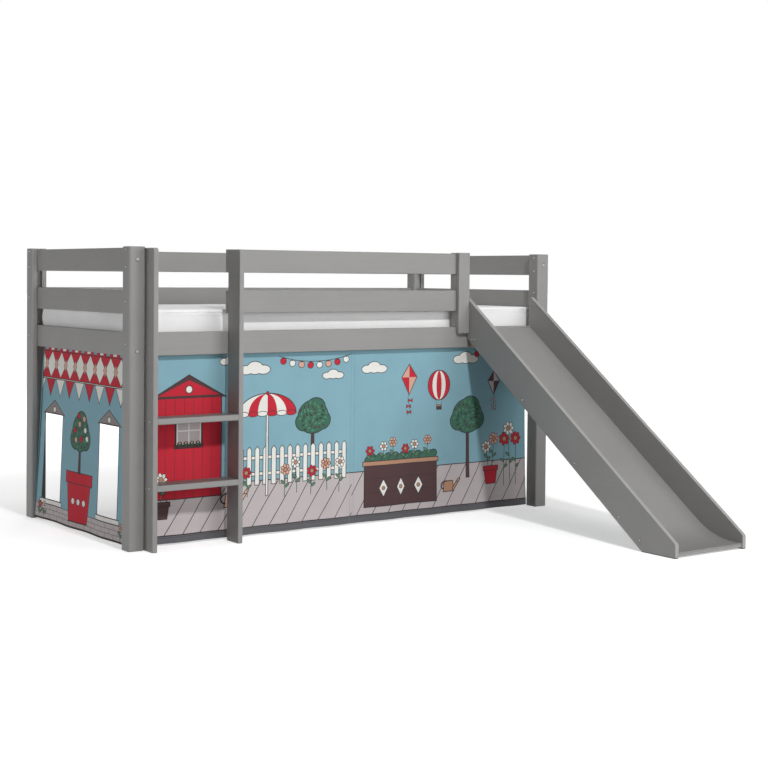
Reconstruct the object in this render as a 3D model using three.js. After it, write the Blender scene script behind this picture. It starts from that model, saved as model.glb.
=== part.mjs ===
// Mid-height loft bed with a slide. Four posts carry board sides, a slatted base and a mattress.
// A ladder and a slide stand at the front, and three curtains close in the play space below.
// Millimetres, +Z up. The front, with ladder and slide, faces -Y. The floor is at Z 0.

import * as THREE from "three";

// Bed frame
const bedLength = 2077;
const bedDepth = 989;
const bedHeight = 1140;
const postSize = 65;
const postRound = 8;
const grooveDepth = 10;
const grooveSlack = 0.5;
const boardThick = 20;
const boardWide = 90;
const boardGap = 69;
const boardRound = 3;
const topBoardDrop = 4;

// Slatted base and mattress
const bearerThick = 20;
const bearerHigh = 26;
const bearerStripGap = 3;
const bearerEndGap = 2;
const slatCount = 12;
const slatWide = 95;
const slatThick = 16;
const slatEndGap = 1;
const slatPostGap = 8;
const mattressHigh = 112;
const mattressGap = 1.5;
const mattressCorner = 18;
const mattressEdge = 14;
const mattressCrown = 6;
const mattressDrawIn = 4;
const mattressShoulder = 60;
const mattressBrow = 260;
const mattressRiseShare = 0.6;
const mattressRimShare = 0.3;

// Ladder
const ladderWide = 385;
const stileThick = 19.5;
const stileDeep = 90;
const stileDrop = 5;
const stileRound = 12;
const stileEase = 3;
const rungCount = 2;
const rungPitch = 250;
const rungThick = 24;
const rungRound = 4;

// Front guard
const uprightWide = 60;
const uprightThick = 20;
const uprightLap = 27;
const uprightNotchSlack = 0.5;

// Slide
const slideWide = 389;
const slideReach = 1217.5;
const slideClear = 0.5;
const slideSideThick = 18;
const slideSideWide = 144;
const slideHook = 16;
const slideRunOut = 146;
const deckThick = 4;
const deckDrop = 8.5;
const deckSetUp = 33;
const lipLevel = 22;
const runOutRadius = 336;
const noseSetback = 4;
const noseBarThick = 18;
const noseBarLift = 6;
const noseRound = 14;
const heelRound = 15;
const rearTopRound = 12;
const rearLowRound = 32;
const sideEase = 2.5;
const crossbarWide = 40;
const crossbarThick = 14;
const crossbarShares = [0.043, 0.317, 0.582, 0.79, 0.879];
const cleatHigh = 26;
const cleatThick = 18;
const cleatRise = 3;
const cleatEndGap = 2.5;
const joinGap = 0.3;

// Curtains and the strips that hold them
const stripWide = 16;
const stripThick = 1.5;
const stripRound = 0.4;
const clothThick = 2;
const clothSideGap = 2.5;
const clothSeamGap = 2;
const clothFloorGap = 7;
const frontSeamShare = 0.5;
const frontShort = 30;
const frontFlare = 1;
const foldDepth = 7;
const frontFoldPitch = 235;
const endFoldPitch = 290;
const endShort = 25;
const endFlare = 24;
const endSwing = 18;
const endCornerKick = 14;
const windowWide = 160;
const windowHigh = 355;
const windowSill = 88;
const windowFrontEdge = 104;
const windowBackEdge = 56;

// Covers over the bolts in the posts
const boltCoverRadius = 7;
const boltCoverHigh = 2.5;
const boltCoverDishShare = 0.45;
const lowBoltRise = 20;

// How finely curves are cut into flats
const arcSteps = 5;
const endEaseShare = 0.5;
const coverSides = 16;
const clothColumns = 26;
const clothRows = 14;
const cutClearShare = 0.33;

// Colours
const paint = new THREE.MeshStandardMaterial({ color: "#959592", roughness: 0.5 });
const slatWood = new THREE.MeshStandardMaterial({ color: "#d3b98c", roughness: 0.7 });
const ticking = new THREE.MeshStandardMaterial({ color: "#e9e9ea", roughness: 0.95 });
const curtainCloth = new THREE.MeshStandardMaterial({ color: "#6fa3b4", roughness: 0.9 });
const tape = new THREE.MeshStandardMaterial({ color: "#3a3a3c", roughness: 0.95 });
const cover = new THREE.MeshStandardMaterial({ color: "#9b9b97", roughness: 0.4 });

// Levels and lines that several pieces share
const boardInset = (postSize - boardThick) / 2;
const boardBack = boardInset + boardThick;
const boardLevels = [2, 1, 0].map((above) => {
  const top = bedHeight - topBoardDrop - above * (boardWide + boardGap);
  return { low: top - boardWide, high: top };
});
const [lowBoard, middleBoard, topBoard] = boardLevels;
const levelNames = ["low", "middle", "top"];
const bearerLow = lowBoard.low + stripWide + bearerStripGap;
const slatLow = bearerLow + bearerHigh;
const mattressLow = slatLow + slatThick;
const guardLeft = postSize + ladderWide - stileThick;
const slideRight = bedLength - postSize - slideClear;
const slideLeft = slideRight - slideWide;
const guardRight = slideLeft - slideClear;

function roundedRectangle(wide, high, round) {
  const [x, y] = [wide / 2, high / 2];
  return filletedShape([[-x, -y, round], [x, -y, round], [x, y, round], [-x, y, round]]);
}

// An outline through corners [x, y, radius], with an arc at each corner that has a radius
function filletedShape(corners) {
  const shape = new THREE.Shape();
  corners.forEach(([x, y, radius], i) => {
    const corner = new THREE.Vector2(x, y);
    if (radius === 0) {
      addPoint(shape, corner, i === 0);
      return;
    }
    const before = towards(corner, corners.at(i - 1));
    const after = towards(corner, corners[(i + 1) % corners.length]);
    const halfAngle = Math.acos(THREE.MathUtils.clamp(before.dot(after), -1, 1)) / 2;
    const start = corner.clone().addScaledVector(before, radius / Math.tan(halfAngle));
    const middle = before.clone().add(after).normalize();
    const centre = corner.clone().addScaledVector(middle, radius / Math.sin(halfAngle));
    const turn = Math.PI - 2 * halfAngle;
    const side = Math.sign(after.cross(before));
    const spoke = start.clone().sub(centre);
    for (let step = 0; step <= arcSteps; step += 1) {
      const angle = (side * turn * step) / arcSteps;
      addPoint(shape, spoke.clone().rotateAround(new THREE.Vector2(), angle).add(centre), i + step === 0);
    }
  });
  shape.closePath();
  return shape;
}

function towards(corner, [x, y]) {
  return new THREE.Vector2(x, y).sub(corner).normalize();
}

function addPoint(shape, point, first) {
  if (first) shape.moveTo(point.x, point.y);
  else shape.lineTo(point.x, point.y);
}

// The shape drawn out along Z from 0 to length, with the rims of both ends eased
function drawnOut(shape, length, ease) {
  const geometry = new THREE.ExtrudeGeometry(shape, {
    depth: length - 2 * ease,
    bevelEnabled: true,
    bevelThickness: ease,
    bevelSize: ease,
    bevelOffset: -ease,
    bevelSegments: 1,
  });
  geometry.translate(0, 0, ease);
  return geometry;
}

// An outline drawn in Y and Z becomes a plate that runs along X
function plateAlongX(name, shape, from, to, ease, material) {
  const geometry = drawnOut(shape, to - from, ease);
  geometry.applyMatrix4(new THREE.Matrix4().makeBasis(axisY, axisZ, axisX));
  const mesh = named(name, geometry, material);
  mesh.position.x = from;
  return mesh;
}

// A length of timber between two opposite corners: long edges rounded, ends eased
function timber(name, low, high, round, material = paint) {
  const size = high.map((value, i) => value - low[i]);
  const along = size.indexOf(Math.max(...size));
  const [a, b] = [(along + 1) % 3, (along + 2) % 3];
  const shape = roundedRectangle(size[a], size[b], round);
  const geometry = drawnOut(shape, size[along], round * endEaseShare);
  geometry.translate(0, 0, -size[along] / 2);
  const axes = [axisX, axisY, axisZ];
  geometry.applyMatrix4(new THREE.Matrix4().makeBasis(axes[a], axes[b], axes[along]));
  const mesh = named(name, geometry, material);
  mesh.position.set(...low.map((value, i) => value + size[i] / 2));
  return mesh;
}

function named(name, geometry, material) {
  const mesh = new THREE.Mesh(geometry, material);
  mesh.name = name;
  return mesh;
}

function meshFrom(name, points, triangles, material) {
  const geometry = new THREE.BufferGeometry();
  geometry.setAttribute("position", new THREE.Float32BufferAttribute(points.flat(), 3));
  geometry.setIndex(triangles.flat());
  return named(name, geometry, material);
}

const axisX = new THREE.Vector3(1, 0, 0);
const axisY = new THREE.Vector3(0, 1, 0);
const axisZ = new THREE.Vector3(0, 0, 1);

// Posts: square with rounded edges, with a groove on the face that takes the end boards
function post(name, x, y, turned) {
  const half = postSize / 2;
  const groove = boardThick / 2 + grooveSlack;
  const shape = filletedShape([
    [-half, -half, postRound],
    [half, -half, postRound],
    [half, half, postRound],
    [groove, half, 0],
    [groove, half - grooveDepth, 0],
    [-groove, half - grooveDepth, 0],
    [-groove, half, 0],
    [-half, half, postRound],
  ]);
  const mesh = named(name, drawnOut(shape, bedHeight, postRound * endEaseShare / 2), paint);
  mesh.position.set(x, y, 0);
  mesh.rotation.z = turned ? Math.PI : 0;
  return mesh;
}

function posts() {
  const [near, far] = [postSize / 2, postSize / 2];
  return [
    post("post_front_left", near, far, false),
    post("post_front_right", bedLength - near, far, false),
    post("post_back_left", near, bedDepth - far, true),
    post("post_back_right", bedLength - near, bedDepth - far, true),
  ];
}

// Boards at the two ends, seated in the bottom of the grooves
function endBoards() {
  const from = postSize - grooveDepth;
  const places = { left: boardInset, right: bedLength - boardBack };
  return Object.entries(places).flatMap(([side, x]) => boardLevels.map(({ low, high }, i) => {
    const name = `end_board_${side}_${levelNames[i]}`;
    return timber(name, [x, from, low], [x + boardThick, bedDepth - from, high], boardRound);
  }));
}

// Front rail, and rail and boards at the back, butted between the posts
function longBoards() {
  const [left, right] = [postSize, bedLength - postSize];
  const board = (name, y, { low, high }) =>
    timber(name, [left, y, low], [right, y + boardThick, high], boardRound);
  const back = boardLevels.map((level, i) =>
    board(`back_board_${levelNames[i]}`, bedDepth - boardBack, level));
  return [board("front_rail", boardInset, lowBoard), ...back];
}

// Guard boards from the ladder to a pair of uprights that grip them and the rail's top edge.
// The inner upright is notched round the boards and fills the spaces between them.
function guard() {
  const board = (name, { low, high }) =>
    timber(name, [guardLeft, boardInset, low], [guardRight, boardBack, high], boardRound);
  const [left, foot] = [guardRight - uprightWide, lowBoard.high - uprightLap];
  const outerLow = [left, boardInset - uprightThick, foot];
  const [tooth, back] = [boardInset, boardBack + uprightThick];
  const notched = filletedShape([
    [boardBack, foot, boardRound],
    [back, foot, boardRound],
    [back, bedHeight, boardRound],
    [boardBack, bedHeight, boardRound],
    [boardBack, topBoard.low - uprightNotchSlack, 0],
    [tooth, topBoard.low - uprightNotchSlack, boardRound],
    [tooth, middleBoard.high + uprightNotchSlack, boardRound],
    [boardBack, middleBoard.high + uprightNotchSlack, 0],
    [boardBack, middleBoard.low - uprightNotchSlack, 0],
    [tooth, middleBoard.low - uprightNotchSlack, boardRound],
    [tooth, lowBoard.high, boardRound],
    [boardBack, lowBoard.high, 0],
  ]);
  const rim = boardRound * endEaseShare;
  return [
    board("guard_board_middle", middleBoard),
    board("guard_board_top", topBoard),
    timber("guard_upright_outer", outerLow, [guardRight, boardInset, bedHeight], boardRound),
    plateAlongX("guard_upright_inner", notched, left, guardRight, rim, paint),
  ];
}

// Ladder: two stiles against the rail's face, with flat rungs between them
function ladder() {
  const front = boardInset - stileDeep;
  const stileShape = filletedShape([
    [front, 0, stileEase],
    [boardInset, 0, stileEase],
    [boardInset, bedHeight - stileDrop, stileEase],
    [front, bedHeight - stileDrop, stileRound],
  ]);
  const [left, right] = [postSize, postSize + ladderWide];
  const rim = stileEase * endEaseShare;
  const stile = (name, x) => plateAlongX(name, stileShape, x, x + stileThick, rim, paint);
  const rungs = Array.from({ length: rungCount }, (_, i) => {
    const top = rungPitch * (i + 1);
    const low = [left + stileThick, front, top - rungThick];
    return timber(`ladder_rung_${i + 1}`, low, [right - stileThick, boardInset, top], rungRound);
  });
  return [stile("ladder_stile_left", left), stile("ladder_stile_right", right - stileThick), ...rungs];
}

// Slide. Its deck leaves the rail, runs down straight and bends level before the lip
const deckTop = lowBoard.high - deckDrop;
const deckFoot = -(slideReach - slideRunOut);
const slope = (deckTop - lipLevel) / (boardInset - deckFoot);
const slant = Math.atan(slope);
const bendLength = runOutRadius * Math.tan(slant / 2);
const deckStart = new THREE.Vector2(boardInset - joinGap, deckTop - joinGap * slope);
const bendStart = new THREE.Vector2(deckFoot, lipLevel)
  .add(new THREE.Vector2(Math.cos(slant), Math.sin(slant)).multiplyScalar(bendLength));
const bendCentre = new THREE.Vector2(deckFoot - bendLength, lipLevel + runOutRadius);
const straightLength = deckStart.distanceTo(bendStart);
const lipEnd = -(slideReach - noseSetback);
const deckLength = straightLength + runOutRadius * slant + (deckFoot - bendLength - lipEnd);

// The place a distance down the deck, at a depth under its sliding face, and the slant there
function deckPlace(distance, depth) {
  const angle = THREE.MathUtils.clamp((distance - straightLength) / runOutRadius, 0, slant);
  const here = slant - angle;
  const past = distance - straightLength - angle * runOutRadius;
  const reach = runOutRadius + depth;
  const y = bendCentre.x + reach * Math.sin(here) - past * Math.cos(here);
  const z = bendCentre.y - reach * Math.cos(here) - past * Math.sin(here);
  return { y, z, here };
}

function slideDeck() {
  const bend = Array.from({ length: arcSteps * 2 + 1 }, (_, i) => i / (arcSteps * 2));
  const distances = [0, ...bend.map((share) => straightLength + share * slant * runOutRadius), deckLength];
  const outline = (depth) => distances.map((distance) => {
    const { y, z } = deckPlace(distance, depth);
    return new THREE.Vector2(y, z);
  });
  const under = outline(deckThick);
  under[0].set(deckStart.x, under[0].y + slope * (deckStart.x - under[0].x));
  const shape = new THREE.Shape([...outline(0), ...under.reverse()]);
  const [left, right] = [slideLeft + slideSideThick, slideRight - slideSideThick];
  return plateAlongX("slide_deck", shape, left, right, 0, paint);
}

// Side boards hooked over the rail: a notch stands on its top edge and against its face
function slideSides() {
  const underDrop = deckSetUp / Math.cos(slant);
  const underAtRail = deckTop - underDrop;
  const rear = boardInset + slideHook;
  const topAtRear = underAtRail + slideSideWide / Math.cos(slant) + slope * slideHook;
  const topAtNose = topAtRear - slope * (rear + slideReach);
  const heel = boardInset - underAtRail / slope;
  const shape = filletedShape([
    [heel, 0, heelRound],
    [boardInset, underAtRail, rearLowRound],
    [boardInset, lowBoard.high, 0],
    [rear, lowBoard.high, 0],
    [rear, topAtRear, rearTopRound],
    [-slideReach, topAtNose, noseRound],
    [-slideReach, 0, sideEase],
  ]);
  const rim = sideEase * endEaseShare;
  const side = (name, x) => plateAlongX(name, shape, x, x + slideSideThick, rim, paint);
  return [side("slide_side_left", slideLeft), side("slide_side_right", slideRight - slideSideThick)];
}

function slideBars() {
  const [left, right] = [slideLeft + slideSideThick, slideRight - slideSideThick];
  const bars = crossbarShares.map((share, i) => {
    const depth = deckThick + joinGap + crossbarThick / 2;
    const { y, z, here } = deckPlace(share * deckLength, depth);
    const [wide, thick] = [crossbarWide / 2, crossbarThick / 2];
    const mesh = timber(`slide_crossbar_${i + 1}`, [left, -wide, -thick], [right, wide, thick], boardRound);
    mesh.position.set((left + right) / 2, y, z);
    mesh.rotation.x = here;
    return mesh;
  });
  const noseTop = lipLevel - deckThick - joinGap;
  const low = [left, lipEnd, noseBarLift];
  const nose = timber("slide_nose_bar", low, [right, lipEnd + noseBarThick, noseTop], boardRound);
  return [...bars, nose];
}

// A bare cleat on the rail's face, under the deck and between the side boards
function slideCleat() {
  const left = slideLeft + slideSideThick + cleatEndGap;
  const right = slideRight - slideSideThick - cleatEndGap;
  const low = lowBoard.low + cleatRise;
  const corner = [left, boardInset - cleatThick, low];
  return timber("slide_cleat", corner, [right, boardInset, low + cleatHigh], boardRound, slatWood);
}

// Slatted base: a bearer inside each long rail, with slats across them
function slattedBase() {
  const bearerSpan = [postSize + bearerEndGap, bedLength - postSize - bearerEndGap];
  const bearer = (name, y) => timber(
    name,
    [bearerSpan[0], y, bearerLow],
    [bearerSpan[1], y + bearerThick, slatLow],
    boardRound,
  );
  const first = postSize + slatPostGap;
  const pitch = (bedLength - 2 * first - slatWide) / (slatCount - 1);
  const [front, back] = [boardBack + slatEndGap, bedDepth - boardBack - slatEndGap];
  const slats = Array.from({ length: slatCount }, (_, i) => {
    const x = first + i * pitch;
    const [low, high] = [[x, front, slatLow], [x + slatWide, back, mattressLow]];
    return timber(`slat_${i + 1}`, low, high, boardRound, slatWood);
  });
  const backBearer = bedDepth - boardBack - bearerThick;
  return [bearer("slat_bearer_front", boardBack), bearer("slat_bearer_back", backBearer), ...slats];
}

// Mattress: crowned top, rounded rims, and sides that draw in a little between the corners.
// It lies between the end boards, and between the front posts and the back posts.
function mattress() {
  const [left, right] = [boardBack + mattressGap, bedLength - boardBack - mattressGap];
  const [front, back] = [postSize + mattressGap, bedDepth - postSize - mattressGap];
  const [halfLong, halfDeep] = [(right - left) / 2, (back - front) / 2];
  const rim = mattressEdge * mattressRimShare;
  const rings = [
    [mattressEdge, 0],
    [rim, rim],
    [0, mattressEdge],
    [mattressDrawIn, mattressHigh / 2],
    [0, mattressHigh - mattressEdge],
    [rim, mattressHigh - rim],
    [mattressEdge, mattressHigh],
    [mattressShoulder, mattressHigh + mattressCrown * mattressRiseShare],
    [mattressBrow, mattressHigh + mattressCrown],
  ];
  const outlines = rings.map(([inset, z]) => mattressRing(halfLong, halfDeep, inset, z));
  const count = outlines[0].length;
  const triangles = [];
  for (let ring = 0; ring < rings.length - 1; ring += 1) {
    for (let i = 0; i < count; i += 1) {
      const [a, b] = [ring * count + i, ring * count + (i + 1) % count];
      triangles.push([a, b, b + count], [a, b + count, a + count]);
    }
  }
  const flat = (outline) => outline.map(([x, y]) => new THREE.Vector2(x, y));
  const last = (rings.length - 1) * count;
  const under = THREE.ShapeUtils.triangulateShape(flat(outlines[0]), []);
  const crown = THREE.ShapeUtils.triangulateShape(flat(outlines.at(-1)), []);
  under.forEach(([a, b, c]) => triangles.push([c, b, a]));
  crown.forEach((face) => triangles.push(face.map((i) => i + last)));
  const mesh = meshFrom("mattress", outlines.flat(), triangles, ticking);
  mesh.position.set((left + right) / 2, (front + back) / 2, mattressLow);
  return mesh;
}

// One level outline of the mattress, the same number of points whatever the inset
function mattressRing(halfLong, halfDeep, inset, z) {
  const [x, y] = [halfLong - inset, halfDeep - inset];
  const round = Math.max(mattressCorner - inset, mattressEdge);
  const points = [];
  const quarters = [[1, -1, -Math.PI / 2], [1, 1, 0], [-1, 1, Math.PI / 2], [-1, -1, Math.PI]];
  quarters.forEach(([sideX, sideY, turn], quarter) => {
    const [cx, cy] = [sideX * (x - round), sideY * (y - round)];
    for (let step = 0; step <= arcSteps; step += 1) {
      const angle = turn + (step / arcSteps) * (Math.PI / 2);
      points.push([cx + round * Math.cos(angle), cy + round * Math.sin(angle), z]);
    }
    const next = quarters[(quarter + 1) % 4];
    const from = points.at(-1);
    const upright = quarter % 2 === 0;
    const to = upright ? [from[0], next[1] * (y - round)] : [next[0] * (x - round), from[1]];
    const cuts = arcSteps + 1;
    for (let step = 1; step < cuts; step += 1) {
      const share = step / cuts;
      const pull = mattressDrawIn * Math.sin(Math.PI * share);
      const px = THREE.MathUtils.lerp(from[0], to[0], share) - (upright ? Math.sign(from[0]) * pull : 0);
      const py = THREE.MathUtils.lerp(from[1], to[1], share) - (upright ? 0 : Math.sign(from[1]) * pull);
      points.push([px, py, z]);
    }
  });
  return points;
}

// A hanging sheet, cut into cells. place(across, down) gives its middle surface, and thin the way
// its thickness runs. Cells inside an opening are left out and the opening's rim is closed.
function hangingSheet(name, columns, rows, openings, place, thin) {
  const [lastColumn, lastRow] = [columns.length - 1, rows.length - 1];
  const points = [];
  rows.forEach((down) => columns.forEach((across) => {
    const middle = place(across, down);
    points.push(middle.clone().addScaledVector(thin, -clothThick / 2).toArray());
    points.push(middle.clone().addScaledVector(thin, clothThick / 2).toArray());
  }));
  const at = (column, row, side) => (row * columns.length + column) * 2 + side;
  const open = (column, row) => {
    if (column < 0 || row < 0 || column >= lastColumn || row >= lastRow) return true;
    const across = (columns[column] + columns[column + 1]) / 2;
    const down = (rows[row] + rows[row + 1]) / 2;
    return openings.some(([a0, a1, d0, d1]) => across > a0 && across < a1 && down > d0 && down < d1);
  };
  const triangles = [];
  const quad = (a, b, c, d) => triangles.push([a, b, c], [a, c, d]);
  for (let row = 0; row < lastRow; row += 1) {
    for (let column = 0; column < lastColumn; column += 1) {
      if (open(column, row)) continue;
      const corners = [[column, row], [column, row + 1], [column + 1, row + 1], [column + 1, row]];
      quad(...corners.map(([c, r]) => at(c, r, 0)));
      quad(...corners.toReversed().map(([c, r]) => at(c, r, 1)));
      const beside = [[column - 1, row], [column, row + 1], [column + 1, row], [column, row - 1]];
      beside.forEach(([c, r], side) => {
        if (!open(c, r)) return;
        const [from, to] = [corners[side], corners[(side + 1) % 4]];
        quad(at(...from, 1), at(...to, 1), at(...to, 0), at(...from, 0));
      });
    }
  }
  return meshFrom(name, points, triangles, curtainCloth);
}

// Even cuts from 0 to length, with extra cuts at the edges of openings
function cuts(length, count, extra = []) {
  const even = Array.from({ length: count + 1 }, (_, i) => (i / count) * length);
  const apart = (length / count) * cutClearShare;
  const kept = even.filter((value) => extra.every((edge) => Math.abs(edge - value) > apart));
  return [...kept, ...extra].sort((a, b) => a - b);
}

const clothTop = lowBoard.low + stripWide;
const clothDrop = clothTop - clothFloorGap;
const clothLine = boardBack + stripThick + clothThick / 2;

// How far a place has dropped below the strip, as a share of the way to the hem
function fallBelowStrip(down) {
  return Math.max(down - stripWide, 0) / (clothDrop - stripWide);
}

// Folds grow from nothing at the strip to their full depth at the hem
function fold(across, fall, pitch) {
  return (foldDepth / 2) * fall * Math.sin((2 * Math.PI * across) / pitch);
}

function frontCurtains() {
  const from = postSize + clothSideGap;
  const to = bedLength - postSize - frontShort;
  const seam = THREE.MathUtils.lerp(postSize, bedLength - postSize, frontSeamShare);
  const panel = (name, start, end, flare) => {
    const wide = end - start;
    const place = (across, down) => {
      const fall = fallBelowStrip(down);
      const x = start + across + flare * (across / wide) * fall ** 2;
      const y = clothLine + (foldDepth / 2) * fall + fold(across, fall, frontFoldPitch);
      return new THREE.Vector3(x, y, clothTop - down);
    };
    const rows = cuts(clothDrop, clothRows, [stripWide]);
    return hangingSheet(name, cuts(wide, clothColumns), rows, [], place, axisY);
  };
  return [
    panel("curtain_front_left", from, seam - clothSeamGap / 2, 0),
    panel("curtain_front_right", seam + clothSeamGap / 2, to, frontFlare),
  ];
}

// End curtain: two window openings. Its hem swings out and reaches the back post, past its short top
function endCurtain() {
  const [from, to] = [postSize + clothSideGap, bedDepth - postSize - clothSideGap - endShort];
  const wide = to - from;
  const backSide = wide - windowBackEdge;
  const sides = [windowFrontEdge, windowFrontEdge + windowWide, backSide - windowWide, backSide];
  const sill = clothDrop - windowSill;
  const head = sill - windowHigh;
  const openings = [[sides[0], sides[1], head, sill], [sides[2], sides[3], head, sill]];
  const place = (across, down) => {
    const [along, fall] = [across / wide, fallBelowStrip(down)];
    const swing = (endSwing + endCornerKick * along ** 2) * fall ** 2;
    const x = clothLine - swing + fold(across, fall, endFoldPitch);
    return new THREE.Vector3(x, from + across + endFlare * along * fall ** 2, clothTop - down);
  };
  const rows = cuts(clothDrop, clothRows, [stripWide, head, sill]);
  const inwards = axisX.clone().negate();
  return hangingSheet("curtain_end", cuts(wide, clothColumns, sides), rows, openings, place, inwards);
}

// Hook-and-loop strips on the inner faces of the front rail and the left end board
function strips() {
  const seam = THREE.MathUtils.lerp(postSize, bedLength - postSize, frontSeamShare);
  const front = (name, start, end) => tapeStrip(
    name,
    [start, boardBack, lowBoard.low],
    [end, boardBack + stripThick, clothTop],
  );
  const [start, end] = [postSize + clothSideGap, bedDepth - postSize - clothSideGap - endShort];
  return [
    front("strip_front_left", start, seam - clothSeamGap / 2),
    front("strip_front_right", seam + clothSeamGap / 2, bedLength - postSize - frontShort),
    tapeStrip("strip_end", [boardBack, start, lowBoard.low], [boardBack + stripThick, end, clothTop]),
  ];
}

function tapeStrip(name, low, high) {
  return timber(name, low, high, stripRound, tape);
}

// Domed covers over the bolts, on the front posts' front faces and high on the back posts' backs
function boltCovers() {
  const dish = boltCoverRadius * boltCoverDishShare;
  const profile = [[0, 0], [boltCoverRadius, 0], [boltCoverRadius, boltCoverHigh / 2]];
  const top = [[dish, boltCoverHigh], [0, boltCoverHigh]];
  const points = [...profile, ...top].map(([r, h]) => new THREE.Vector2(r, h));
  const geometry = new THREE.LatheGeometry(points, coverSides);
  const heights = { low: lowBoard.low + lowBoltRise, top: (topBoard.low + topBoard.high) / 2 };
  const columns = { left: postSize / 2, right: bedLength - postSize / 2 };
  const faces = { front: [0, Math.PI], back: [bedDepth, 0] };
  const covered = [["front", "low"], ["front", "top"], ["back", "top"]];
  return covered.flatMap(([face, level]) => Object.entries(columns).map(([side, x]) => {
    const [y, turn] = faces[face];
    const mesh = named(`bolt_cover_${face}_${side}_${level}`, geometry, cover);
    mesh.position.set(x, y, heights[level]);
    mesh.rotation.z = turn;
    return mesh;
  }));
}

// The whole bed, moved from the front left post's corner to the middle of its outline on the floor
const bed = new THREE.Group();
bed.position.set(-bedLength / 2, (slideReach - bedDepth - boltCoverHigh) / 2, 0);
bed.add(...posts(), ...endBoards(), ...longBoards(), ...guard(), ...ladder());
bed.add(slideDeck(), ...slideSides(), ...slideBars(), slideCleat());
bed.add(...slattedBase(), mattress(), ...frontCurtains(), endCurtain(), ...strips(), ...boltCovers());

const part = new THREE.Group();
part.add(bed);

export default part;
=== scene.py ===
import math

import bpy
from mathutils import Matrix, Vector
from mathutils.geometry import delaunay_2d_cdt, interpolate_bezier


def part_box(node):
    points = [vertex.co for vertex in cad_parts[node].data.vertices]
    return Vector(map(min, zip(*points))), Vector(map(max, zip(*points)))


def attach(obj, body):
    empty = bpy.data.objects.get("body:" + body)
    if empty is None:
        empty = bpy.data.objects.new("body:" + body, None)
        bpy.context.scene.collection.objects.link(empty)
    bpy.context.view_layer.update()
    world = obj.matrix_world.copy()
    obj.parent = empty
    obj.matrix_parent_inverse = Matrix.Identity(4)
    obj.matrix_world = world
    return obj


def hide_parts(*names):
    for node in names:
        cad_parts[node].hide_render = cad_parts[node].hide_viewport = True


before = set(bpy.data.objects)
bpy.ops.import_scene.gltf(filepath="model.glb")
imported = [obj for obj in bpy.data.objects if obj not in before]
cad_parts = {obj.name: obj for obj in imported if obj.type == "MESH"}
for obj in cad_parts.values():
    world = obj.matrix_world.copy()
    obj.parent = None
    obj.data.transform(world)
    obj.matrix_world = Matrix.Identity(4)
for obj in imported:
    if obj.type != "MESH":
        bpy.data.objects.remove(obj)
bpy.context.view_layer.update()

# Sizes are in millimetres from the front left post's corner, as in the part's source.
# here() turns them into metres in the shared frame.
SHIFT = Vector(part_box("post_front_left")[0])
SPAN = (Vector(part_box("post_back_right")[1]) - SHIFT) * 1000.0
LENGTH, DEPTH = SPAN.x, SPAN.y
POST = (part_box("post_front_left")[1].x - SHIFT.x) * 1000.0


def here(x, y, z):
    return Vector((x, y, z)) * 0.001 + SHIFT


def from_corner(point):
    """A point of the frame in millimetres from that corner, to a tenth."""
    return [round((value - start) * 1000.0, 1) for value, start in zip(point, SHIFT)]


def clamped(value):
    return min(max(value, 0.0), 1.0)


def srgb(r, g, b):
    """A colour from its sRGB levels of 255."""
    def lin(c):
        c /= 255.0
        return c / 12.92 if c <= 0.04045 else ((c + 0.055) / 1.055) ** 2.4
    return (lin(r), lin(g), lin(b), 1.0)


def scaled(colour, k):
    return (colour[0] * k, colour[1] * k, colour[2] * k, 1.0)


# Camera, as solved from the photograph's straight edges: its place, its yaw, pitch and roll, and
# its focal length and the row of its axis in pixels of the square picture
CAMERA_PLACE = (-2439.7, -5011.0, 1042.5)
CAMERA_TURN = (35.7057, -1.3793, 0.4979)
PICTURE, FOCAL_PIXELS, AXIS_ROW = 768.0, 1481.34, 310.31
SENSOR = 36.0


def make_camera():
    yaw, pitch, roll = (math.radians(v) for v in CAMERA_TURN)
    look = Vector((math.sin(yaw) * math.cos(pitch), math.cos(yaw) * math.cos(pitch), math.sin(pitch)))
    right = Vector((math.cos(yaw), -math.sin(yaw), 0.0))
    above = right.cross(look)
    side = right * math.cos(roll) + above * math.sin(roll)
    top = above * math.cos(roll) - right * math.sin(roll)
    data = bpy.data.cameras.new("camera")
    data.sensor_width = SENSOR
    data.lens = FOCAL_PIXELS / PICTURE * SENSOR
    data.shift_y = (AXIS_ROW - PICTURE / 2) / PICTURE
    data.clip_start, data.clip_end = 0.05, 200.0
    camera = bpy.data.objects.new("camera", data)
    bpy.context.scene.collection.objects.link(camera)
    turn = Matrix((side, top, -look)).transposed().to_4x4()
    camera.matrix_world = Matrix.Translation(here(*CAMERA_PLACE)) @ turn
    bpy.context.scene.camera = camera


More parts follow.
